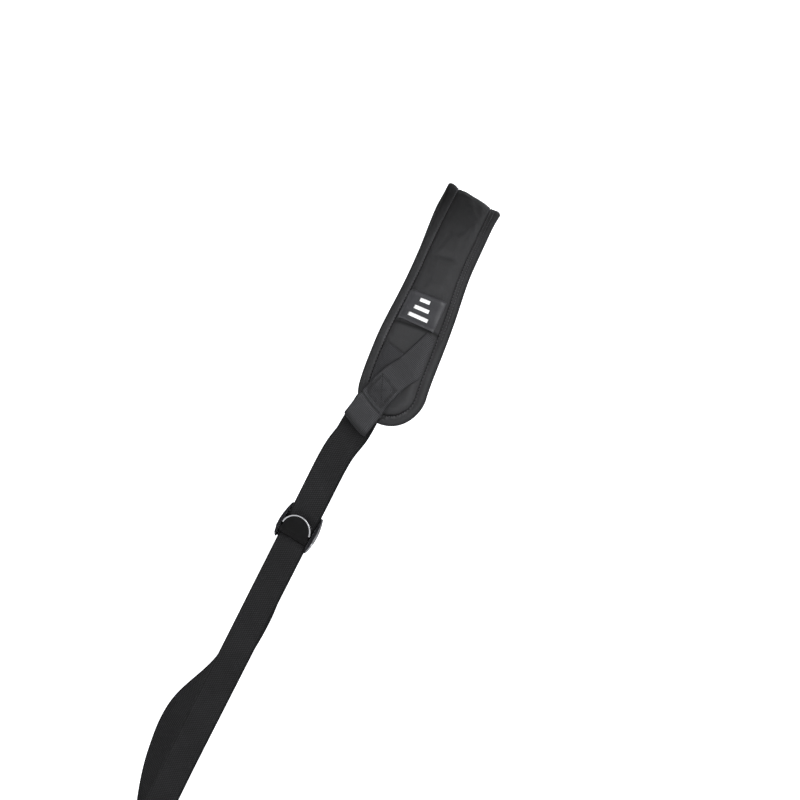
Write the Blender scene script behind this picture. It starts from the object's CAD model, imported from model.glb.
"""Looks of the shoulder sling strap: padded shoulder piece, webbing, cam slider, ring and swivel hook."""

import math

import bmesh
import bpy
import numpy as np
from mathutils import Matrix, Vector


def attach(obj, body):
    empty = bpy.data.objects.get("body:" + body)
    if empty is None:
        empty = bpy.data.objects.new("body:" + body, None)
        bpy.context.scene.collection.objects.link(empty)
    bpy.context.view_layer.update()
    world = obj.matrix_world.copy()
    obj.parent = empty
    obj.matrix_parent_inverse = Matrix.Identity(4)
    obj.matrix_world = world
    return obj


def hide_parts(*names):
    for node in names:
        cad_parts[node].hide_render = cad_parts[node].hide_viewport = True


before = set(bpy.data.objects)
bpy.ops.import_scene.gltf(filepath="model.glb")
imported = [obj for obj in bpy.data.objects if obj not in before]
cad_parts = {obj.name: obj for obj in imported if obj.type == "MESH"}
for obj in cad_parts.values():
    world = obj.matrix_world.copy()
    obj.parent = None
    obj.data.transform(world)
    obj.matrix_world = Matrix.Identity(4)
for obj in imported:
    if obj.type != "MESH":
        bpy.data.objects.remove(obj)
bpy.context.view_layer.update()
scene = bpy.context.scene

MM = 0.001

# ---- Sizes, in millimetres, as in the CAD source ----
PAD_LEN = 460
PAD_W = 47
PAD_END_W = 55
PAD_T = 7
BORDER_W = 8
END_R = PAD_END_W / 2
END_AT = PAD_LEN / 2 - END_R
WEB_W = 25.4
WEB_T = 1.6
SLIDER_AT = 128
LABEL_AT = 136.5
LABEL_LEN = 26
LABEL_W = 32
LABEL_SHIFT = 1
LABEL_SKEW = 0.09
LABEL_T = 0.6
MARK_SIZE = 17
MARK_BAR = 3
ANCHOR_W = 22.8
FRONT_ANGLES = (22.6, 37)
REAR_ANGLES = (30, 31.6)
ANCHOR_START = (-157.8, -20.8)
ANCHOR_LEN = 66
ANCHOR_LIFT = 0.6
LOOP_LEN = 22
LOOP_GAP = 2
FOLD_R = LOOP_GAP / 2 + WEB_T / 2
RISE_FROM = 26
RISE_TO = 44
PANEL_EDGE = 18
STITCH_BOX = (46, 62)
STITCH_HALF = 8.4

# ---- Routes: point, then outward direction, in millimetres ----
PAD_ROUTE = [
    (-39, -122, -180, 0.02, -1, 0.10),
    (-35, -120, -150, 0.04, -1, 0.16),
    (-25.6, -110, -118, 0.08, -0.96, 0.30),
    (-14.5, -94, -84, 0.16, -0.86, 0.50),
    (-6, -70, -50, 0.26, -0.70, 0.68),
    (0.5, -36, -18, 0.40, -0.46, 0.80),
    (0, 0, 0, 0.47, 0, 0.88),
    (-18, 34, -12, 0.38, 0.46, 0.80),
    (-38, 62, -42, 0.22, 0.74, 0.64),
    (-56, 80, -74, 0.10, 0.90, 0.42),
    (-71, 88, -108, 0.02, 0.97, 0.24),
    (-85, 93, -144, -0.04, 1, 0.12),
    (-97, 96, -178, -0.06, 1, 0.06),
]
CREST_ROW = 6
WEB_ROUTE = [
    (-44.5, -129.8, -148, 0, -1, 0),
    (-51, -129.1, -158, 0, -1, 0),
    (-63, -126.4, -178, 0, -1, 0),
    (-78.8, -124, -198, 0, -1, 0),
    (-101.2, -120, -238, 0, -1, 0),
    (-134.2, -114, -298, 0, -1, 0),
    (-167.2, -108, -358, 0, -1, 0),
    (-200.2, -102, -418, 0, -1, 0),
    (-211.2, -100, -438, 0, -1, 0),
    (-222, -98, -458, -0.02, -1, 0),
    (-242, -90, -494, -0.08, -1, -0.1),
    (-265, -68, -532, -0.05, -0.9, -0.35),
    (-284, -38, -566, 0, -0.8, -0.6),
    (-294, -14, -584, 0, -0.5, -0.85),
    (-295, 0, -588, 0, 0, -1),
    (-296, 14, -584, 0, 0.5, -0.85),
    (-300, 27, -563, 0, 0.9, -0.4),
    (-305, 42, -528, -0.05, 1, -0.2),
    (-301, 59, -488, -0.1, 1, 0),
    (-287, 75, -450, -0.1, 1, 0),
    (-249.5, 88, -412, -0.1, 1, 0),
    (-222, 97, -367, -0.05, 1, 0),
    (-200.5, 103, -314, 0, 1, 0),
    (-168.5, 106, -258, 0, 1, 0),
    (-139.5, 104, -204, -0.05, 1, 0.07),
    (-117.5, 100.8, -170, -0.09, 1, 0.13),
    (-99.5, 100.5, -144, -0.09, 1, 0.13),
]


def ease(x):
    c = np.clip(x, 0, 1)
    return c * c * (3 - 2 * c)


def unit(v):
    return v / np.maximum(np.linalg.norm(v, axis=-1, keepdims=True), 1e-12)


class Route:
    """A smooth line with an outward direction, by distance along it from a chosen row."""

    def __init__(self, rows, steps, zero_row=0):
        rows = np.array(rows, float)
        first = 2 * rows[:1] - rows[1:2]
        last = 2 * rows[-1:] - rows[-2:-1]
        self.rows = np.vstack([first, rows, last])
        self.spans = len(rows) - 1
        self.t = np.linspace(0, self.spans, steps + 1)
        points = self.spline(self.t)[0][:, :3]
        steps_run = np.linalg.norm(np.diff(points, axis=0), axis=1)
        self.run = np.concatenate([[0], np.cumsum(steps_run)])
        self.zero = float(np.interp(zero_row, self.t, self.run))
        self.length = float(self.run[-1])

    def spline(self, t):
        """Rows at t, and how fast they change there."""
        i = np.clip(np.floor(t).astype(int), 0, self.spans - 1)
        f = (t - i)[:, None]
        a, b, c, d = (self.rows[i + k] for k in range(4))
        first, second, third = c - a, 2 * a - 5 * b + 4 * c - d, 3 * b - 3 * c + d - a
        return (
            b + (first * f + second * f**2 + third * f**3) / 2,
            (first + 2 * second * f + 3 * third * f**2) / 2,
        )

    def frame(self, run):
        """Point, heading, outward and sideways directions at distances along the route."""
        run = np.asarray(run, float)
        t = np.interp(run.ravel() + self.zero, self.run, self.t)
        value, change = self.spline(t)
        along = unit(change[:, :3])
        lean = value[:, 3:]
        out = unit(lean - along * np.sum(lean * along, axis=1, keepdims=True))
        shape = run.shape + (3,)
        side = np.cross(out, along)
        return [x.reshape(shape) for x in (value[:, :3], along, out, side)]


PAD = Route(PAD_ROUTE, 240, CREST_ROW)
WEB = Route(WEB_ROUTE, 360)
SLIDER_MIDDLE, _, _, SLIDER_ACROSS = (tuple(v) for v in WEB.frame(SLIDER_AT))


def placed(route, run, u, h):
    """Points at distance run along a route, u across it and h outwards."""
    run, u, h = np.broadcast_arrays(
        *(np.asarray(x, float) for x in (run, u, h)))
    point, _, out, side = route.frame(run)
    return point + u[..., None] * side + h[..., None] * out


def web_point(run, u, h):
    return placed(WEB, run, u, h)


# ---- The pad's shape ----
CREST_LIFT = 3.2
CREST_CURL = 1.2
CREST_FLARE = 1.4
CREST_TILT = 1.6
CURL_REACH = 18
CURL_EDGE = (17, 6)
LIFT_EDGE = (11.5, 4.5)
WIDEN_FROM = 90
WIDEN_OVER = 80
PANEL_LOW = 1.7
PANEL_SHOULDER = 7


def pad_half(s):
    return PAD_W / 2 + (PAD_END_W - PAD_W) / 2 * ease((np.abs(s) - WIDEN_FROM) / WIDEN_OVER)


def half_in(s, inset):
    """Half the width at s of the outline drawn in by inset."""
    over = np.abs(s) - END_AT
    tip = np.sqrt(np.maximum(0, (END_R - inset) ** 2 - np.maximum(over, 0) ** 2))
    return np.where(over <= 0, pad_half(s) - inset, tip)


def edge_gap(s, u):
    over = np.abs(s) - END_AT
    tip = END_R - np.hypot(np.maximum(over, 0), u)
    return np.where(over <= 0, pad_half(s) - np.abs(u), tip)


def pad_point(s, u, h):
    """A place on the pad. Its border stands up where the pad bends over the shoulder's crest."""
    s, u, h = np.broadcast_arrays(*(np.asarray(x, float) for x in (s, u, h)))
    near = np.exp(-((s / CURL_REACH) ** 2))
    edge = ease((np.abs(u) - CURL_EDGE[0]) / CURL_EDGE[1])
    raised = ease((np.abs(u) - LIFT_EDGE[0]) / LIFT_EDGE[1])
    lift = near * (CREST_LIFT * raised + CREST_CURL * edge + CREST_TILT * u / 20)
    return placed(PAD, s, u + np.sign(u) * CREST_FLARE * near * edge, h + lift)


def panel_top(s, u):
    """Height of the cover panel: steep at its seam, nearly flat in the middle."""
    x = np.clip((edge_gap(s, u) - BORDER_W) / PANEL_SHOULDER, 0, 1)
    return PANEL_LOW + (PAD_T - PANEL_LOW) * (1 - (1 - x) ** 2) ** 0.75


def stations(inset, step):
    """Places along the pad for a grid of one of its layers, closer together over the rounded ends."""
    reach = END_R - inset
    turns = END_AT + reach * np.sin(np.radians(np.arange(4, 89, 4)))
    straight = np.arange(0, END_AT + 0.01, END_AT / round(END_AT / step))
    side = np.concatenate([straight, turns])
    return np.concatenate([-side[:0:-1], side])


def outline(inset, step=1.6):
    """The outline drawn in by inset, once round, as s and u."""
    reach = END_R - inset
    n = round(2 * END_AT / step)
    line = -END_AT + 2 * END_AT * np.arange(n) / n
    turn = np.radians(np.arange(0, 180, 4))
    s = np.concatenate([line, END_AT + reach * np.sin(turn),
                        -line, -END_AT - reach * np.sin(turn)])
    u = np.concatenate([pad_half(line) - inset, reach * np.cos(turn),
                        inset - pad_half(line), -reach * np.cos(turn)])
    return s, u


# ---- Meshes from grids of points ----
def mesh_object(name, points, faces, uv=None):
    """A mesh from points in millimetres, with uv in metres where given."""
    mesh = bpy.data.meshes.new(name)
    mesh.from_pydata((np.asarray(points) * MM).tolist(), [], faces)
    if uv is not None:
        layer = mesh.uv_layers.new(name="UVMap")
        corner = np.zeros(len(mesh.loops), int)
        mesh.loops.foreach_get("vertex_index", corner)
        layer.data.foreach_set("uv", (np.asarray(uv)[corner] * MM).ravel())
    mesh.polygons.foreach_set("use_smooth", [True] * len(mesh.polygons))
    obj = bpy.data.objects.new(name, mesh)
    scene.collection.objects.link(obj)
    return obj


def grid_faces(rows, cols, start=0, closed_rows=False, closed_cols=False):
    last_row = rows if closed_rows else rows - 1
    last_col = cols if closed_cols else cols - 1
    i, j = np.meshgrid(np.arange(last_row), np.arange(last_col), indexing="ij")
    n, k = (i + 1) % rows, (j + 1) % cols
    quads = [i * cols + j, i * cols + k, n * cols + k, n * cols + j]
    return (np.stack(quads, axis=-1).reshape(-1, 4) + start).tolist()


def ribbon(name, middle, across, along, thick, flip=False):
    """A closed strip with rounded edges about a grid of middle points, rows along and columns across."""
    rows, cols = middle.shape[:2]
    d_along = np.gradient(middle, axis=0)
    d_across = np.gradient(middle, axis=1)
    normal = unit(np.cross(d_along, d_across)) * (-1 if flip else 1)
    width = across.max(axis=1, keepdims=True) - across.min(axis=1, keepdims=True)
    gap = width / 2 - np.abs(across - (across.max(axis=1, keepdims=True) - width / 2))
    bulge = np.clip(gap / (0.8 * thick), 0, 1)
    half = (thick / 2 * np.sqrt(1 - (1 - bulge) ** 2))[..., None]
    upper = middle + normal * half
    lower = (middle - normal * half)[:, -2:0:-1]
    ring = np.concatenate([upper, lower], axis=1)
    ring_uv = np.stack([np.concatenate([x, x[:, -2:0:-1]], axis=1) for x in (across, along)], axis=-1)
    count = ring.shape[1]
    faces = grid_faces(rows, count, closed_cols=True)
    for start in (0, (rows - 1) * count):
        cap = []
        for j in range(cols - 1):
            a, b = start + j, start + j + 1
            c, d = start + (count - j - 1) % count, start + (count - j) % count
            quad = [a, b, c, d] if j else [a, b, c]
            cap.append([v for n, v in enumerate(quad) if v not in quad[:n]])
        faces += [f if start else f[::-1] for f in cap if len(f) > 2]
    obj = mesh_object(name, ring.reshape(-1, 3), faces, ring_uv.reshape(-1, 2))
    tidy_normals(obj)
    return obj


def tidy_normals(obj):
    bm = bmesh.new()
    bm.from_mesh(obj.data)
    bmesh.ops.recalc_face_normals(bm, faces=bm.faces)
    bm.to_mesh(obj.data)
    bm.free()


def columns(half, edge, count):
    """Places across a strip, closer together at its edges."""
    inner = np.linspace(-half + edge, half - edge, count)
    rim = half - edge * (1 - np.sin(np.radians([90, 64, 40, 20])))
    return np.concatenate([-rim, inner, rim[::-1]])


def dashes(path, normal, pitch, dash, radius, dip=0.5):
    """Points, faces and uv of a row of stitches along a path, each bowed up out of the cloth."""
    run = np.concatenate([[0], np.cumsum(np.linalg.norm(np.diff(path, axis=0), axis=1))])
    count = max(1, int(run[-1] / pitch))
    sides, rings = 6, 7
    x = np.linspace(-0.5, 0.5, rings)
    at = (np.arange(count) + 0.5)[:, None] * run[-1] / count + x * dash
    centre = np.stack([np.interp(at, run, path[:, k]) for k in range(3)], axis=-1)
    up = unit(np.stack([np.interp(at, run, normal[:, k]) for k in range(3)], axis=-1))
    along = unit(np.gradient(centre, axis=1))
    side = unit(np.cross(up, along))
    shape = np.sqrt(np.maximum(0.04, 1 - (2 * x) ** 4))
    centre = centre + up * (radius * 0.55 - dip * radius * (2 * x[:, None]) ** 2)
    turn = np.arange(sides) * 2 * math.pi / sides
    offset = (np.cos(turn)[:, None] * up[:, :, None, :] + np.sin(turn)[:, None] * side[:, :, None, :])
    points = centre[:, :, None, :] + offset * (radius * shape)[None, :, None, None]
    faces = []
    for i in range(count):
        start = i * rings * sides
        faces += grid_faces(rings, sides, start, closed_cols=True)
        faces.append(list(range(start, start + sides)))
        faces.append(list(range(start + rings * sides - 1, start + (rings - 1) * sides - 1, -1)))
    uv = np.zeros((count, rings, sides, 2))
    uv[..., 0] = (turn * radius)[None, None, :]
    uv[..., 1] = at[:, :, None]
    return points.reshape(-1, 3), faces, uv.reshape(-1, 2)


def joined(name, parts):
    """One object from several lots of points, faces and uv."""
    points, faces, uvs, start = [], [], [], 0
    for p, f, uv in parts:
        points.append(p)
        uvs.append(uv)
        faces += [[v + start for v in one] for one in f]
        start += len(p)
    obj = mesh_object(name, np.vstack(points), faces, np.vstack(uvs))
    tidy_normals(obj)
    return obj


# ---- Materials ----
def material(name):
    mat = bpy.data.materials.new(name)
    mat.use_nodes = True
    tree = mat.node_tree
    return mat, tree, tree.nodes["Principled BSDF"]


def node(tree, kind, **values):
    made = tree.nodes.new(kind)
    for key, value in values.items():
        if hasattr(made, key):
            setattr(made, key, value)
        else:
            made.inputs[key].default_value = value
    return made


def maths(tree, operation, a, b=None):
    made = node(tree, "ShaderNodeMath", operation=operation)
    for socket, value in zip(made.inputs, (a, b)):
        if isinstance(value, bpy.types.NodeSocket):
            tree.links.new(value, socket)
        elif value is not None:
            socket.default_value = value
    return made.outputs[0]


def noise(tree, coordinate, scale, detail=3.0, rough=0.55):
    made = node(tree, "ShaderNodeTexNoise", Scale=scale, Detail=detail, Roughness=rough)
    tree.links.new(coordinate, made.inputs["Vector"])
    return made.outputs["Fac"]


def ramp(tree, value, stops):
    made = tree.nodes.new("ShaderNodeValToRGB")
    while len(made.color_ramp.elements) < len(stops):
        made.color_ramp.elements.new(0.5)
    for element, (place, colour) in zip(made.color_ramp.elements, stops):
        element.position = place
        element.color = (*colour, 1)
    tree.links.new(value, made.inputs["Fac"])
    return made.outputs["Color"]


def scaled(colour, share):
    return tuple(c * share for c in colour)


def add_bump(tree, shader, heights):
    """Chains bump nodes: each height is a socket, with its depth in metres."""
    last = None
    for height, depth in heights:
        bump = node(tree, "ShaderNodeBump", Strength=1.0, Distance=depth)
        tree.links.new(height, bump.inputs["Height"])
        if last is not None:
            tree.links.new(last, bump.inputs["Normal"])
        last = bump.outputs["Normal"]
    tree.links.new(last, shader.inputs["Normal"])


def shade_line(tree, value, place, width, strength):
    """Darkens (or lightens, below zero) a line at a place along one uv direction, in millimetres."""
    off = maths(tree, "ABSOLUTE", maths(tree, "SUBTRACT", value, place * MM))
    near = maths(tree, "MAXIMUM", maths(tree, "SUBTRACT", 1.0, maths(tree, "DIVIDE", off, width * MM)), 0.0)
    return maths(tree, "MAXIMUM", maths(tree, "SUBTRACT", 1.0, maths(tree, "MULTIPLY", near, strength)), 0.03)


def shaded(tree, colour, factors):
    """The colour multiplied by each factor."""
    for factor in factors:
        mixed = node(tree, "ShaderNodeVectorMath", operation="SCALE")
        tree.links.new(colour, mixed.inputs[0])
        tree.links.new(factor, mixed.inputs["Scale"])
        colour = mixed.outputs[0]
    return colour


def woven(name, colour, pitch, depth, rough, sheen=0.02, slant=0.0, contrast=0.35,
          mottle=0.12, crumple=0.0, specular=0.18, across_lines=(), along_lines=(),
          level_lines=()):
    """Cloth woven at a pitch in millimetres, in the piece's own uv, with slow changes of shade.

    Each of the lines is a place across, along or up, a half width and how much darker it is there."""
    mat, tree, shader = material(name)
    uv = node(tree, "ShaderNodeUVMap", uv_map="UVMap")
    place = node(tree, "ShaderNodeTexCoord").outputs["Object"]
    split = tree.nodes.new("ShaderNodeSeparateXYZ")
    tree.links.new(uv.outputs["UV"], split.inputs[0])
    across = maths(tree, "MULTIPLY", split.outputs[0], math.pi / (pitch[0] * MM))
    along = maths(tree, "MULTIPLY", split.outputs[1], math.pi / (pitch[1] * MM))
    if slant:
        along = maths(tree, "ADD", along, maths(tree, "MULTIPLY", across, slant))
    ribs = [maths(tree, "ABSOLUTE", maths(tree, "SINE", turn)) for turn in (across, along)]
    weave = maths(tree, "MULTIPLY", *ribs)
    fuzz = noise(tree, place, 1700, 2.0)
    mixed = maths(tree, "ADD", maths(tree, "MULTIPLY", weave, 0.7), maths(tree, "MULTIPLY", fuzz, 0.3))
    patches = noise(tree, place, 26, 4.0)
    uneven = maths(tree, "MULTIPLY", maths(tree, "SUBTRACT", patches, 0.5), mottle * 6)
    shade = maths(tree, "ADD", mixed, uneven)
    stops = [(0.1, scaled(colour, 1 - contrast)), (0.5, colour), (0.95, scaled(colour, 1 + contrast * 1.4))]
    factors = [shade_line(tree, split.outputs[0], *line) for line in across_lines]
    factors += [shade_line(tree, split.outputs[1], *line) for line in along_lines]
    if level_lines:
        level = tree.nodes.new("ShaderNodeSeparateXYZ")
        tree.links.new(place, level.inputs[0])
        factors += [shade_line(tree, level.outputs[2], *line) for line in level_lines]
    tree.links.new(shaded(tree, ramp(tree, shade, stops), factors), shader.inputs["Base Color"])
    heights = [(mixed, depth * MM)]
    if crumple:
        heights.insert(0, (noise(tree, place, 120, 3.0, 0.6), crumple * MM))
    add_bump(tree, shader, heights)
    low, high = rough
    value = ramp(tree, patches, [(0.3, (low,) * 3), (0.7, (high,) * 3)])
    tree.links.new(value, shader.inputs["Roughness"])
    shader.inputs["Sheen Weight"].default_value = sheen
    shader.inputs["Sheen Roughness"].default_value = 0.45
    shader.inputs["Specular IOR Level"].default_value = specular
    return mat


def metal(name, colour, rough, worn=None, grain=0.004, edge=0.35):
    """Polished or plated metal with fine grain, and rubbed edges where worn is given."""
    mat, tree, shader = material(name)
    place = node(tree, "ShaderNodeTexCoord").outputs["Object"]
    fine = noise(tree, place, 900, 3.0)
    broad = noise(tree, place, 140, 3.0)
    low, high = rough
    tree.links.new(ramp(tree, broad, [(0.3, (low,) * 3), (0.75, (high,) * 3)]), shader.inputs["Roughness"])
    tint = ramp(tree, fine, [(0.25, scaled(colour, 0.85)), (0.8, scaled(colour, 1.12))])
    if worn:
        bevel = node(tree, "ShaderNodeBevel", samples=6, Radius=edge * MM)
        geometry = tree.nodes.new("ShaderNodeNewGeometry")
        dot = node(tree, "ShaderNodeVectorMath", operation="DOT_PRODUCT")
        tree.links.new(bevel.outputs[0], dot.inputs[0])
        tree.links.new(geometry.outputs["Normal"], dot.inputs[1])
        turned = maths(tree, "SUBTRACT", 1.0, dot.outputs["Value"])
        rubbed = maths(tree, "MULTIPLY", turned, maths(tree, "ADD", broad, 0.35))
        mask = ramp(tree, rubbed, [(0.03, (0, 0, 0)), (0.12, (1, 1, 1))])
        mix = node(tree, "ShaderNodeMix", data_type="RGBA")
        tree.links.new(mask, mix.inputs["Factor"])
        tree.links.new(tint, mix.inputs[6])
        mix.inputs[7].default_value = (*worn, 1)
        tint = mix.outputs[2]
    tree.links.new(tint, shader.inputs["Base Color"])
    shader.inputs["Metallic"].default_value = 1.0
    add_bump(tree, shader, [(fine, grain * MM)])
    return mat


def end_bright(name, colour, dull, rough, origin, axis, reach):
    """Steel that is dull and dark except beyond a reach from an origin along an axis, in millimetres."""
    mat, tree, shader = material(name)
    place = node(tree, "ShaderNodeTexCoord").outputs["Object"]
    offset = node(tree, "ShaderNodeVectorMath", operation="SUBTRACT")
    tree.links.new(place, offset.inputs[0])
    offset.inputs[1].default_value = scaled(origin, MM)
    dot = node(tree, "ShaderNodeVectorMath", operation="DOT_PRODUCT")
    tree.links.new(offset.outputs[0], dot.inputs[0])
    dot.inputs[1].default_value = axis
    far = maths(tree, "GREATER_THAN", maths(tree, "ABSOLUTE", dot.outputs["Value"]), reach * MM)
    tree.links.new(ramp(tree, far, [(0.4, dull), (0.6, colour)]), shader.inputs["Base Color"])
    tree.links.new(maths(tree, "MULTIPLY", far, 0.95), shader.inputs["Metallic"])
    shader.inputs["Roughness"].default_value = rough
    shader.inputs["Specular IOR Level"].default_value = 0.06
    add_bump(tree, shader, [(noise(tree, place, 900), 0.01 * MM)])
    return mat


def moulded(name, colour, rough):
    """Moulded plastic with a fine spark-eroded texture."""
    mat, tree, shader = material(name)
    place = node(tree, "ShaderNodeTexCoord").outputs["Object"]
    cells = node(tree, "ShaderNodeTexVoronoi", Scale=1500)
    tree.links.new(place, cells.inputs["Vector"])
    broad = noise(tree, place, 160)
    tree.links.new(ramp(tree, broad, [(0.3, scaled(colour, 0.8)), (0.8, scaled(colour, 1.3))]),
                   shader.inputs["Base Color"])
    tree.links.new(ramp(tree, broad, [(0.3, (rough - 0.06,) * 3), (0.7, (rough + 0.08,) * 3)]),
                   shader.inputs["Roughness"])
    add_bump(tree, shader, [(cells.outputs["Distance"], 0.012 * MM)])
    shader.inputs["Specular IOR Level"].default_value = 0.08
    return mat


def foam_cells(name, colour):
    mat, tree, shader = material(name)
    place = node(tree, "ShaderNodeTexCoord").outputs["Object"]
    cells = node(tree, "ShaderNodeTexVoronoi", Scale=900)
    tree.links.new(place, cells.inputs["Vector"])
    wall = cells.outputs["Distance"]
    tree.links.new(ramp(tree, wall, [(0.1, scaled(colour, 0.6)), (0.7, scaled(colour, 1.2))]),
                   shader.inputs["Base Color"])
    add_bump(tree, shader, [(wall, 0.3 * MM)])
    shader.inputs["Roughness"].default_value = 0.95
    return mat


def knit_mesh(name, colour, pitch):
    """Open knit: round holes in rows, each row half a hole along from the last."""
    mat, tree, shader = material(name)
    uv = node(tree, "ShaderNodeUVMap", uv_map="UVMap")
    stretch = node(tree, "ShaderNodeMapping")
    stretch.inputs["Scale"].default_value = (1 / (pitch * MM), 0.6 / (pitch * MM), 1)
    tree.links.new(uv.outputs["UV"], stretch.inputs["Vector"])
    cells = node(tree, "ShaderNodeTexVoronoi", Scale=1.0, Randomness=0.0)
    tree.links.new(stretch.outputs[0], cells.inputs["Vector"])
    hole = cells.outputs["Distance"]
    stops = [(0.22, scaled(colour, 0.15)), (0.4, colour), (0.7, scaled(colour, 1.5))]
    tree.links.new(ramp(tree, hole, stops), shader.inputs["Base Color"])
    add_bump(tree, shader, [(hole, 0.4 * MM)])
    shader.inputs["Roughness"].default_value = 0.85
    return mat


# Places of darker cloth: under the loop's lip along the main webbing, in the anchor's crease, up at the crest
# and on the panel below the label
LIP_SHADE_AT = 33
CREASE_RUN = 68.3
CREST_SHADE_AT = 8
LABEL_SHADE_AT = -LABEL_AT - LABEL_LEN / 2 - 1.4

COVER = woven("cover_cloth", (0.029, 0.029, 0.030), (0.4, 0.4), 0.02, (0.6, 0.74), contrast=0.25,
              mottle=0.1, crumple=0.2, along_lines=[(LABEL_SHADE_AT, 2.4, 0.8)],
              level_lines=[(CREST_SHADE_AT, 40, 0.65)])
TAPE = woven("border_cloth", (0.028, 0.028, 0.029), (0.6, 0.5), 0.04, (0.62, 0.78), contrast=0.4,
             mottle=0.14, crumple=0.3, across_lines=[(0.6, 1.2, 0.6), (2.3, 1.0, -0.7), (9.3, 3.2, 0.75)],
             level_lines=[(CREST_SHADE_AT, 36, 0.8)])
ANCHOR = woven("anchor_weave", (0.034, 0.034, 0.036), (1.1, 1.15), 0.16, (0.7, 0.85), contrast=0.6,
               mottle=0.08, across_lines=[(-ANCHOR_W / 2, 1.3, 0.85), (ANCHOR_W / 2, 1.3, 0.75)],
               along_lines=[(CREASE_RUN, 1.2, 1.2), (CREASE_RUN - 9, 8, 0.35), (CREASE_RUN + 22, 4, 0.6)])
TAIL = woven("tail_weave", (0.028, 0.028, 0.030), (1.1, 1.15), 0.14, (0.7, 0.85), contrast=0.5, mottle=0.08)
WEBBING = woven("main_weave", (0.0125, 0.0125, 0.013), (1.6, 1.8), 0.14, (0.6, 0.75), slant=0.5, contrast=0.7,
                mottle=0.08, specular=0.1, across_lines=[(-WEB_W / 2, 1.6, 0.7), (WEB_W / 2, 2.4, 0.85)],
                along_lines=[(LIP_SHADE_AT, 12, 0.6)])
LABEL = woven("label_weave", (0.036, 0.036, 0.039), (0.5, 0.45), 0.02, (0.42, 0.5), contrast=0.2,
              mottle=0.05, specular=0.4)
MARK = woven("mark_weave", (0.86, 0.86, 0.85), (0.4, 1.6), 0.03, (0.6, 0.7), contrast=0.06, mottle=0.02)
THREAD_DULL = woven("box_thread", (0.022, 0.022, 0.023), (0.5, 0.5), 0.05, (0.6, 0.7), slant=1.0,
                    contrast=0.4)
THREAD_GREY = woven("seam_thread", (0.055, 0.055, 0.058), (0.5, 0.5), 0.05, (0.4, 0.5), slant=1.0,
                    contrast=0.4, specular=0.3)
LINER = knit_mesh("liner_net", (0.03, 0.03, 0.032), 2.2)
FOAM = foam_cells("foam_cells", (0.06, 0.06, 0.065))
BLACK_METAL = metal("black_nickel", (0.022, 0.022, 0.024), (0.22, 0.32), worn=(0.62, 0.62, 0.64))
HOOK_METAL = metal("hook_nickel", (0.07, 0.07, 0.075), (0.2, 0.32), worn=(0.5, 0.5, 0.52), edge=0.25)
CHROME = metal("polished_rim", (0.52, 0.52, 0.53), (0.2, 0.3))
STEEL = metal("turned_steel", (0.55, 0.55, 0.56), (0.22, 0.34), grain=0.01)
PIN = end_bright("slider_pins", (0.62, 0.62, 0.63), (0.004, 0.004, 0.004), 0.5, SLIDER_MIDDLE,
                 SLIDER_ACROSS, 14)
SPRING = metal("spring_wire", (0.5, 0.5, 0.5), (0.25, 0.35))
PLASTIC = moulded("lever_nylon", (0.005, 0.005, 0.005), 0.6)


def dress(obj, mat):
    """Gives a piece its material and slot. Every piece made here rides on the strap."""
    obj.data.materials.clear()
    obj.data.materials.append(mat)
    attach(obj, "strap")


# ---- Pad ----
COVER_T = 0.9
COVER_COLS = 27
COVER_STEP = 2.2
COVER_HELD = 0.4
COVER_SLACK = 0.03
COVER_PRESSURE = 3.0
COVER_CAP = 1.6
# How far from the crest the cover swells freely, and over how far that fades out before the label
SWELL_TO = 112
SWELL_FADE = 10
COVER_TURN = 0.92


def cover_grid(step):
    s = stations(BORDER_W, step)[:, None]
    turn = np.linspace(-math.pi / 2, math.pi / 2, COVER_COLS)
    v = np.sin(turn * COVER_TURN) / math.sin(math.pi / 2 * COVER_TURN)
    u = half_in(s, BORDER_W) * v[None, :]
    return np.broadcast_to(s, u.shape), u


def puff(obj, held, slack, pressure, frames=20):
    """Lets cloth held along its seams swell. Returns how far each point moved, in millimetres."""
    group = obj.vertex_groups.new(name="held")
    group.add([int(i) for i in held], 1.0, "REPLACE")
    before = np.array([v.co for v in obj.data.vertices])
    cloth = obj.modifiers.new("Cloth", "CLOTH")
    cloth.settings.quality = 8
    cloth.settings.mass = 0.15
    cloth.settings.tension_stiffness = 15
    cloth.settings.compression_stiffness = 15
    cloth.settings.shear_stiffness = 5
    cloth.settings.bending_stiffness = 0.05
    cloth.settings.vertex_group_mass = "held"
    cloth.settings.shrink_min = -slack
    cloth.settings.use_pressure = True
    cloth.settings.uniform_pressure_force = pressure
    cloth.settings.effector_weights.gravity = 0
    cloth.collision_settings.use_collision = False
    for f in range(1, frames + 1):
        scene.frame_set(f)
    shown = obj.evaluated_get(bpy.context.evaluated_depsgraph_get())
    after = np.array([v.co for v in shown.data.vertices])
    obj.modifiers.remove(cloth)
    obj.vertex_groups.remove(group)
    scene.frame_set(1)
    return (after - before) / MM


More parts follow.
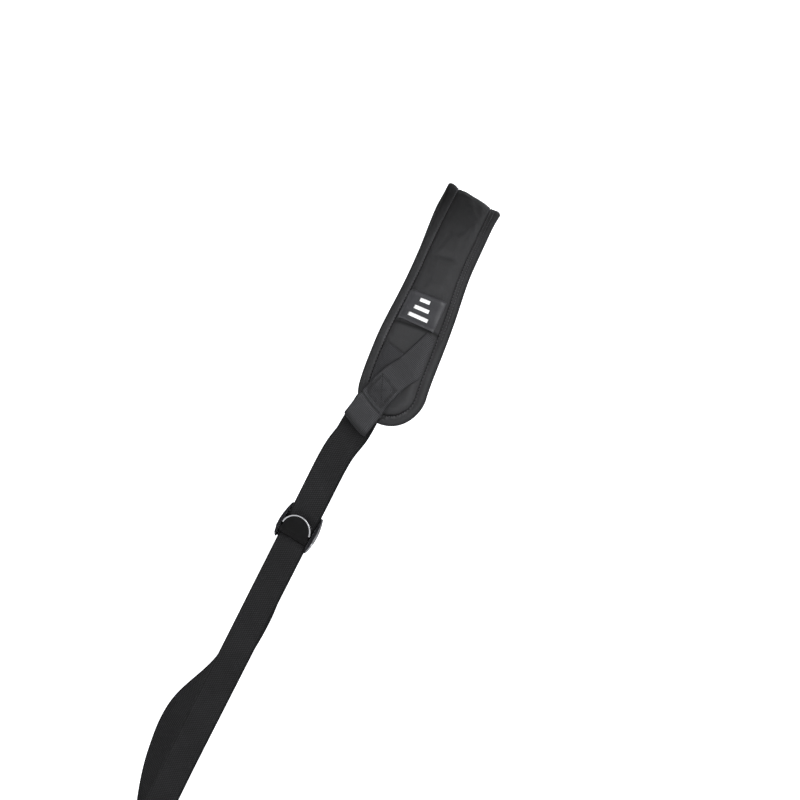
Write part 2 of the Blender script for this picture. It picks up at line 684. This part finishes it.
def make_cover():
    s, u = cover_grid(COVER_STEP)
    top = pad_point(s, u, panel_top(s, u))
    rows, cols = s.shape
    uv = np.stack([u, s], axis=-1).reshape(-1, 2)
    faces = grid_faces(rows, cols)
    sheet = mesh_object("cover_panel", top.reshape(-1, 3), faces, uv)
    gap = edge_gap(s, u).ravel() - BORDER_W
    shift = puff(sheet, np.nonzero(gap < COVER_HELD)[0], COVER_SLACK, COVER_PRESSURE)
    out = PAD.frame(s)[2].reshape(-1, 3)
    lift = np.clip(np.sum(shift * out, axis=1, keepdims=True), 0, COVER_CAP)
    free = 1 - ease((np.abs(s) - SWELL_TO) / SWELL_FADE)
    moved = top.reshape(-1, 3) + out * lift * free.reshape(-1, 1)
    sheet.data.vertices.foreach_set("co", (moved * MM).ravel())
    sheet.data.update()
    tidy_normals(sheet)
    shell = sheet.modifiers.new("thickness", "SOLIDIFY")
    shell.thickness = COVER_T * MM
    shell.offset = -1
    smooth = sheet.modifiers.new("smooth", "SUBSURF")
    smooth.levels = smooth.render_levels = 1
    dress(sheet, COVER)
    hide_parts("pad_cover")


LINER_INSET = 2.8
LINER_T = 1.0
FOAM_INSET = 9
FOAM_DEPTH = 1.5
FOAM_BASE = 1.25


def layer(name, inset, high, low, mat, slot, stands_for):
    """A closed layer of the pad, between two heights given as functions of s and u."""
    s = stations(inset, 4)[:, None]
    u = half_in(s, inset) * np.linspace(-1, 1, 15)[None, :]
    s = np.broadcast_to(s, u.shape)
    rows, cols = s.shape
    points = np.vstack([pad_point(s, u, f(s, u)).reshape(-1, 3) for f in (high, low)])
    uv = np.stack([u, s], axis=-1).reshape(-1, 2)
    faces = grid_faces(rows, cols) + [f[::-1] for f in grid_faces(rows, cols, rows * cols)]
    rim = ([i * cols for i in range(rows)] + [(rows - 1) * cols + j for j in range(1, cols)]
           + [i * cols + cols - 1 for i in range(rows - 2, -1, -1)] + list(range(cols - 2, 0, -1)))
    under = rows * cols
    for a, b in zip(rim, rim[1:] + rim[:1]):
        faces.append([a, b, b + under, a + under])
    obj = mesh_object(name, points, faces, np.vstack([uv, uv]))
    tidy_normals(obj)
    dress(obj, mat)
    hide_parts(stands_for)


# Section of the border tape from its inner edge on top, out and round to its edge underneath, as inset
# and height
TAPE_SECTION = [
    (8.2, 1.5), (8.15, 2.0), (7.9, 2.4), (7.4, 2.65), (6.7, 3.0), (5.9, 3.25), (5.3, 3.36), (5.0, 3.4),
    (4.7, 3.4), (4.4, 3.4), (4.1, 3.36), (3.4, 3.25), (2.7, 3.05), (2.0, 2.75), (1.4, 2.35), (0.8, 1.85),
    (0.35, 1.35), (0.0, 0.9), (0.2, 0.4), (0.9, 0.1), (1.7, 0), (2.3, 0.02), (2.3, 0.7), (2.3, 1.4),
    (5.2, 1.4),
]
TAPE_TOP = 17
DOUBLE_SEAM = 4.7
DOUBLE_FROM = -158
SEAM_DIP = 0.55
STITCH_INSET = 7.5
STITCH_PITCH = 2.7
STITCH_LEN = 1.8
INNER_THREAD_R = 0.4
OUTER_THREAD_R = 0.32
PUCKER_SPREAD = 2.4
# Puckers where the border turns under the webbing, at the front: s, u and height
PUCKERS = [(-226.2, 4.2, 2.4), (-223.4, 0.6, 2.6), (-222.2, -4.2, 2.8), (-218, -12.4, 2.6), (-221, -8.6, 1.6)]


def tape_ripple(s, u):
    """Slight unevenness of the sewn border, in millimetres."""
    wave = np.sin(s / 7.3) * np.sin(s / 17.1 + np.sign(u)) + 0.6 * np.sin(s / 3.1 + 2 * np.sign(u))
    return 0.13 * wave


def double_seam(s, u):
    """Where the border has its second row of stitches: the wearer's left side of the front half and crest."""
    return ease((-u - 3) / 5) * ease((s - DOUBLE_FROM) / 8)


def pucker(s, u):
    lift = 0 * s
    for at_s, at_u, high in PUCKERS:
        lift = lift + high * np.exp(-((s - at_s) ** 2 + (u - at_u) ** 2) / PUCKER_SPREAD)
    return lift


def make_tape():
    loops, girths, girth = [], [], 0.0
    for n, (inset, h) in enumerate(TAPE_SECTION):
        s, u = outline(inset)
        outer_s, outer_u = outline(0)
        top = n < TAPE_TOP
        dip = SEAM_DIP * math.exp(-(((inset - DOUBLE_SEAM) / 0.4) ** 2)) * double_seam(s, u)
        uneven = tape_ripple(outer_s, outer_u) * ease(inset / 2) + pucker(s, u) - dip
        loops.append(pad_point(s, u, h + top * uneven))
        if n:
            girth += math.dist(TAPE_SECTION[n - 1], (inset, h))
        girths.append(girth)
    points = np.stack(loops, axis=1)
    step = np.linalg.norm(np.diff(points[:, 15], axis=0, append=points[:1, 15]), axis=1)
    run = np.concatenate([[0], np.cumsum(step)[:-1]])
    uv = np.stack(np.broadcast_arrays(np.array(girths)[None, :], run[:, None]), axis=-1)
    count, sides = points.shape[:2]
    faces = grid_faces(count, sides, closed_rows=True, closed_cols=True)
    obj = mesh_object("border_tape", points.reshape(-1, 3), faces, uv.reshape(-1, 2))
    tidy_normals(obj)
    dress(obj, TAPE)
    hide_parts("pad_binding")


def pad_path(s, u, h):
    """Points on the pad's surface and the directions out of it."""
    return pad_point(s, u, h), PAD.frame(s)[2]


def make_seam_stitches():
    s, u = outline(STITCH_INSET, 1.0)
    path, up = pad_path(s, u, 2.6 + pucker(s, u))
    loop, loop_up = np.vstack([path, path[:1]]), np.vstack([up, up[:1]])
    parts = [dashes(loop, loop_up, STITCH_PITCH, STITCH_LEN, INNER_THREAD_R)]
    s, u = outline(DOUBLE_SEAM, 1.0)
    kept = double_seam(s, u) > 0.5
    order = np.argsort(s[kept])
    path, up = pad_path(s[kept][order], u[kept][order], 3.4 - SEAM_DIP)
    parts.append(dashes(path, up, STITCH_PITCH, STITCH_LEN, OUTER_THREAD_R))
    obj = joined("seam_stitches", parts)
    dress(obj, THREAD_GREY)
    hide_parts("pad_seam_thread")


# ---- Label ----
LABEL_LIFT = 0.35
END_RISE = 0.8
END_RISE_LEN = 9
HEM_RISE = 0.35
HEM_LEN = 3.2
LABEL_FLAT_HALF = 16.4
MARK_LIFT = 0.12
BAR_T = 0.34


def label_end_rise(s):
    """How much higher the label lies near its lower end."""
    return END_RISE * ease((-LABEL_AT - LABEL_LEN / 2 + END_RISE_LEN - s) / END_RISE_LEN)


def label_middle(s, u, h):
    s = s + LABEL_SKEW * u
    return pad_point(s, u, panel_top(s, u) + h)


def make_label():
    across = columns(LABEL_W / 2, 0.8, 21) + LABEL_SHIFT
    s = np.linspace(-LABEL_AT - LABEL_LEN / 2, -LABEL_AT + LABEL_LEN / 2, 28)
    end_gap = np.minimum(s - s[0], s[-1] - s)
    hem = HEM_RISE * ease((HEM_LEN - end_gap) / 0.8) * ease(end_gap / 0.8 + 0.2)
    side = ease((LABEL_FLAT_HALF - np.abs(across[None, :])) / 2.0 + 0.2)
    height = (LABEL_LIFT + LABEL_T / 2 + hem + label_end_rise(s))[:, None] * side
    s, u = np.meshgrid(s, across, indexing="ij")
    patch = ribbon("label_cloth", label_middle(s, u, height), u, s, LABEL_T + 0.2, flip=True)
    dress(patch, LABEL)
    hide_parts("label_patch")


def make_mark():
    """A plain mark: three short bars of growing length."""
    pitch = (MARK_SIZE - MARK_BAR) / 2
    parts = []
    for i in range(3):
        reach = MARK_SIZE * (0.5 + 0.25 * i) / 2
        s = -LABEL_AT + MARK_SIZE / 2 - MARK_BAR - i * pitch
        across = np.linspace(-reach, reach, 13) + LABEL_SHIFT
        along = np.linspace(s, s + MARK_BAR, 5)
        a, b = np.meshgrid(along, across, indexing="ij")
        top = LABEL_LIFT + LABEL_T + MARK_LIFT + label_end_rise(a)
        bar = ribbon(f"bar_{i}", label_middle(a, b, top), b, a, BAR_T, flip=True)
        mesh = bar.data
        uv = np.zeros(len(mesh.loops) * 2)
        mesh.uv_layers[0].data.foreach_get("uv", uv)
        corner = [loop.vertex_index for loop in mesh.loops]
        vertex_uv = np.zeros((len(mesh.vertices), 2))
        vertex_uv[corner] = uv.reshape(-1, 2) / MM
        points = np.array([v.co for v in mesh.vertices]) / MM
        parts.append((points, [list(p.vertices) for p in mesh.polygons], vertex_uv))
        bpy.data.objects.remove(bar)
    obj = joined("label_bars", parts)
    dress(obj, MARK)
    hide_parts("label_mark")


# ---- Anchor webbings ----
CREASE_AT = 65.6
BOX_PITCH = 1.9
BOX_STITCH_LEN = 1.6
BOX_THREAD_R = 0.36
BOX_DOUBLE = 1.1


def anchor_angle(side, t):
    """The anchor's angle to the pad's middle line. At the front the pad curves sideways under it."""
    first, last = np.radians(FRONT_ANGLES if side > 0 else REAR_ANGLES)
    return first + (last - first) * np.asarray(t, float) / ANCHOR_LEN


def anchor_uv(side, t, v):
    a, b = anchor_angle(side, 0), anchor_angle(side, t)
    r = ANCHOR_LEN / (anchor_angle(side, ANCHOR_LEN) - a)
    s = ANCHOR_START[0] + r * (np.sin(a) - np.sin(b)) - v * np.sin(b)
    u = ANCHOR_START[1] + r * (np.cos(a) - np.cos(b)) - v * np.cos(b)
    return s, u


def anchor_far(side, t):
    """The anchor's far edge is caught in the seam of the raised panel."""
    edge = (anchor_uv(side, t, 0)[1] + PANEL_EDGE) / np.cos(anchor_angle(side, t))
    return np.where(t < ANCHOR_LEN, np.clip(edge, 1 - ANCHOR_W / 2, ANCHOR_W / 2), ANCHOR_W / 2)


def anchor_rise(t):
    swell = 0.9 * ease((t - CREASE_AT) / 3) * ease((86 - t) / 12)
    groove = 1.2 * np.exp(-(((t - CREASE_AT) / 0.7) ** 2))
    climb = (2 * WEB_T + LOOP_GAP + 0.9) * ease((t - RISE_FROM) / (RISE_TO - RISE_FROM))
    return ANCHOR_LIFT + climb + swell - groove


def anchor_point(side, t, v, h):
    """A point of the anchor: t along it, v across, h over the pad. Past the pad it runs on straight."""
    held = np.minimum(t, ANCHOR_LEN)

    def on_pad(at, across, up):
        s, u = anchor_uv(side, at, across)
        surface = panel_top(s, np.minimum(u, half_in(s, BORDER_W + 3)))
        return pad_point(side * s, u, surface + up)

    step = unit(on_pad(ANCHOR_LEN, 0, 0) - on_pad(ANCHOR_LEN - 6.0, 0, 0))
    return on_pad(held, v, h) + step * (t - held)[..., None]


def anchor_rows():
    """Rows of distance along the webbing, place t and height of its middle, round the loop and back."""
    upper = np.concatenate([np.arange(-1, 62, 1.5), np.arange(62, 86.2, 0.5)])
    high = anchor_rise(upper) + WEB_T / 2
    turn = np.radians(np.arange(75, -91, -15))
    tip = ANCHOR_LEN + LOOP_LEN - FOLD_R
    middle = high[-1] - FOLD_R
    lower = np.arange(tip - 1.5, ANCHOR_LEN - 2, -1.5)
    t = np.concatenate([upper, tip + FOLD_R * np.cos(turn), lower])
    h = np.concatenate([high, middle + FOLD_R * np.sin(turn), np.full(len(lower), middle - FOLD_R)])
    run = np.concatenate([[0], np.cumsum(np.hypot(np.diff(t), np.diff(h)))])
    return run, t, h


def make_anchor(name, side, stands_for):
    run, t, h = anchor_rows()
    unit_cols = columns(1, 0.055, 17)
    far = anchor_far(side, t)[:, None]
    v = (far - ANCHOR_W / 2) / 2 + (far + ANCHOR_W / 2) / 2 * unit_cols[None, :]
    tt, hh = (np.broadcast_to(x[:, None], v.shape) for x in (t, h))
    band = ribbon(name, anchor_point(side, tt, v, hh), v, np.broadcast_to(run[:, None], v.shape), WEB_T,
                  flip=side < 0)
    dress(band, ANCHOR)
    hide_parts(stands_for)


def box_path(side, corners):
    """A path of straight sewn lines over the anchor, through corners of t and v."""
    t, v = [], []
    for (a, b), (c, d) in zip(corners, corners[1:]):
        n = max(4, int(math.hypot(c - a, d - b)))
        t.append(np.linspace(a, c, n, endpoint=False))
        v.append(np.linspace(b, d, n, endpoint=False))
    t, v = np.concatenate(t), np.concatenate(v)
    path = anchor_point(side, t, v, anchor_rise(t) + WEB_T - 0.05)
    up = unit(anchor_point(side, t, v, anchor_rise(t) + WEB_T + 1) - path)
    return path, up


def make_box(name, side, stands_for):
    a, b = STITCH_BOX
    w = STITCH_HALF
    lines = []
    for inset in (0, BOX_DOUBLE):
        p, q, r = a + inset, b - inset, w - inset
        lines.append([(p, -r), (q, -r), (q, r), (p, r), (p, -r)])
    lines += [[(a, -w), (b, w)], [(a, w), (b, -w)]]
    rows = [dashes(*box_path(side, line), BOX_PITCH, BOX_STITCH_LEN, BOX_THREAD_R, dip=0.3) for line in lines]
    obj = joined(name, rows)
    dress(obj, THREAD_DULL)
    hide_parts(stands_for)


# ---- Main webbing ----
SLANT_CUT = 17
SLANT_LEN = 32
TAIL_START = (-172.5, 4)
TAIL_ANGLE = math.radians(18.5)
TAIL_LEN = 34
TAIL_EDGE = 18.5


def web_slant(run):
    """How much is cut from the webbing's side near its ends, so that they stay hidden under the anchors."""
    return SLANT_CUT * (ease(1 - run / SLANT_LEN) + ease(1 - (WEB.length - run) / SLANT_LEN))


def make_webbing():
    run = np.concatenate([np.arange(0, WEB.length, 3.0), [WEB.length]])[:, None]
    low = web_slant(run) - WEB_W / 2
    v = (low + WEB_W / 2) / 2 + (WEB_W / 2 - low) / 2 * columns(1, 0.07, 19)[None, :]
    band = ribbon("sling_webbing", web_point(run, v, 0), v, np.broadcast_to(run, v.shape), WEB_T)
    dress(band, WEBBING)
    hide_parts("main_webbing")


def make_tail(name, side):
    """The webbing's sewn end: it lies on the pad under the anchor, and its cut edge shows beside it."""
    run = np.arange(0, TAIL_LEN + 0.1, 2.0)[:, None]
    s = TAIL_START[0] - run * math.cos(TAIL_ANGLE)
    u = TAIL_START[1] + run * math.sin(TAIL_ANGLE)
    high = np.minimum(WEB_W / 2, (TAIL_EDGE - u) / math.cos(TAIL_ANGLE))
    low = np.maximum(-WEB_W / 2, (-TAIL_EDGE - u) / math.cos(TAIL_ANGLE))
    v = (high + low) / 2 + (high - low) / 2 * columns(1, 0.06, 15)[None, :]
    s, u = s + v * math.sin(TAIL_ANGLE), u + v * math.cos(TAIL_ANGLE)
    middle = pad_point(side * s, u, panel_top(s, u) + WEB_T / 2 + 0.1)
    band = ribbon(name, middle, v, np.broadcast_to(run, v.shape), WEB_T, flip=side < 0)
    dress(band, TAIL)


# ---- CAD parts that stay, with softened edges ----
def finish_cad(name, mat, edge):
    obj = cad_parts[name]
    obj.data.materials.clear()
    obj.data.materials.append(mat)
    for poly in obj.data.polygons:
        poly.use_smooth = True
    if "custom_normal" in obj.data.attributes:
        obj.data.attributes.remove(obj.data.attributes["custom_normal"])
    weld = obj.modifiers.new("weld", "WELD")
    weld.merge_threshold = 0.002 * MM
    bevel = obj.modifiers.new("edge", "BEVEL")
    bevel.width = edge * MM
    bevel.segments = 2
    bevel.limit_method = "ANGLE"
    bevel.angle_limit = math.radians(35)
    bevel.harden_normals = True


CAD_LOOKS = {
    "slider_frame": (BLACK_METAL, 0.25),
    "slider_pivot_pin": (PIN, 0.15),
    "slider_cross_pin": (PIN, 0.15),
    "cam_lever": (PLASTIC, 0.25),
    "lever_rim": (CHROME, 0.2),
    "sling_ring": (HOOK_METAL, 0.25),
    "swivel_post": (STEEL, 0.2),
    "swivel_washer": (STEEL, 0.12),
    "hook_body": (HOOK_METAL, 0.25),
    "gate_pin": (STEEL, 0.12),
    "hook_gate": (HOOK_METAL, 0.2),
    "gate_spring": (SPRING, 0.0),
}


# ---- Stage, light and camera ----
FLOOR_Z = -0.72
BOWL_R = 4.5
LIT_PLACE = (-0.1, -0.05, -0.2)
SOFTBOX_SIZE = (1.4, 1.8)


def make_stage():
    """A pale floor that curves up all round into a plain wall."""
    profile = [(0, 0), (1.2, 0), (2.4, 0), (3.2, 0.05), (3.8, 0.25), (4.2, 0.7), (4.4, 1.4), (BOWL_R, 4.0)]
    turn = np.radians(np.arange(0, 360, 6))
    points = [(r * math.cos(a), r * math.sin(a), FLOOR_Z + z) for r, z in profile for a in turn]
    faces = grid_faces(len(profile), len(turn), closed_cols=True)
    mesh = bpy.data.meshes.new("stage")
    mesh.from_pydata(points, [], [f[::-1] for f in faces])
    mesh.polygons.foreach_set("use_smooth", [True] * len(mesh.polygons))
    obj = bpy.data.objects.new("stage", mesh)
    scene.collection.objects.link(obj)
    mat, tree, shader = material("pale_floor")
    place = node(tree, "ShaderNodeTexCoord").outputs["Object"]
    tree.links.new(ramp(tree, noise(tree, place, 3), [(0.3, (0.84, 0.84, 0.85)), (0.7, (0.86, 0.86, 0.87))]),
                   shader.inputs["Base Color"])
    shader.inputs["Roughness"].default_value = 0.9
    shader.inputs["Emission Color"].default_value = (0.97, 0.98, 1, 1)
    seen = tree.nodes.new("ShaderNodeLightPath").outputs["Is Camera Ray"]
    glow = maths(tree, "ADD", maths(tree, "MULTIPLY", seen, 0.75), 0.3)
    tree.links.new(glow, shader.inputs["Emission Strength"])
    mesh.materials.append(mat)


def softbox(name, place, target, size, power):
    data = bpy.data.lights.new(name, "AREA")
    data.shape = "RECTANGLE"
    data.size, data.size_y = size
    data.energy = power
    obj = bpy.data.objects.new(name, data)
    obj.location = place
    obj.rotation_euler = (Vector(target) - Vector(place)).to_track_quat("-Z", "Y").to_euler()
    scene.collection.objects.link(obj)


def make_world():
    world = bpy.data.worlds.new("studio")
    world.use_nodes = True
    tree = world.node_tree
    back = tree.nodes["Background"]
    back.inputs["Color"].default_value = (0.96, 0.98, 1, 1)
    back.inputs["Strength"].default_value = 0.15
    scene.world = world


AZIMUTH = math.radians(15)
ELEVATION = math.radians(3)
LOOK_AT = Vector((-0.04585, -0.05611, -0.15821))
DISTANCE = 1.52


def make_camera():
    data = bpy.data.cameras.new("camera")
    data.lens = 85
    data.sensor_width = 36
    obj = bpy.data.objects.new("camera", data)
    back = Vector((math.sin(AZIMUTH) * math.cos(ELEVATION), -math.cos(AZIMUTH) * math.cos(ELEVATION),
                   math.sin(ELEVATION)))
    obj.location = LOOK_AT + back * DISTANCE
    obj.rotation_euler = (-back).to_track_quat("-Z", "Y").to_euler()
    scene.collection.objects.link(obj)
    scene.camera = obj


make_cover()
layer("liner_panel", LINER_INSET, lambda s, u: LINER_T + 0 * s, lambda s, u: 0 * s,
      LINER, "liner_mesh", "pad_liner")
layer("foam_core", FOAM_INSET, lambda s, u: panel_top(s, u) - FOAM_DEPTH, lambda s, u: FOAM_BASE + 0 * s,
      FOAM, "foam", "pad_foam")
make_tape()
make_seam_stitches()
make_label()
make_mark()
make_anchor("front_anchor_band", 1, "front_anchor_webbing")
make_anchor("rear_anchor_band", -1, "rear_anchor_webbing")
make_box("front_box_thread", 1, "front_box_stitch")
make_box("rear_box_thread", -1, "rear_box_stitch")
make_webbing()
make_tail("front_webbing_end", 1)
make_tail("rear_webbing_end", -1)
for node_name, (look, softened) in CAD_LOOKS.items():
    finish_cad(node_name, look, softened)

make_stage()
make_world()
softbox("key", (1.5, -2.1, 0.5), LIT_PLACE, SOFTBOX_SIZE, 58)
softbox("fill", (-1.9, -1.7, 0.2), LIT_PLACE, SOFTBOX_SIZE, 9)
make_camera()
scene.view_settings.view_transform = "Standard"
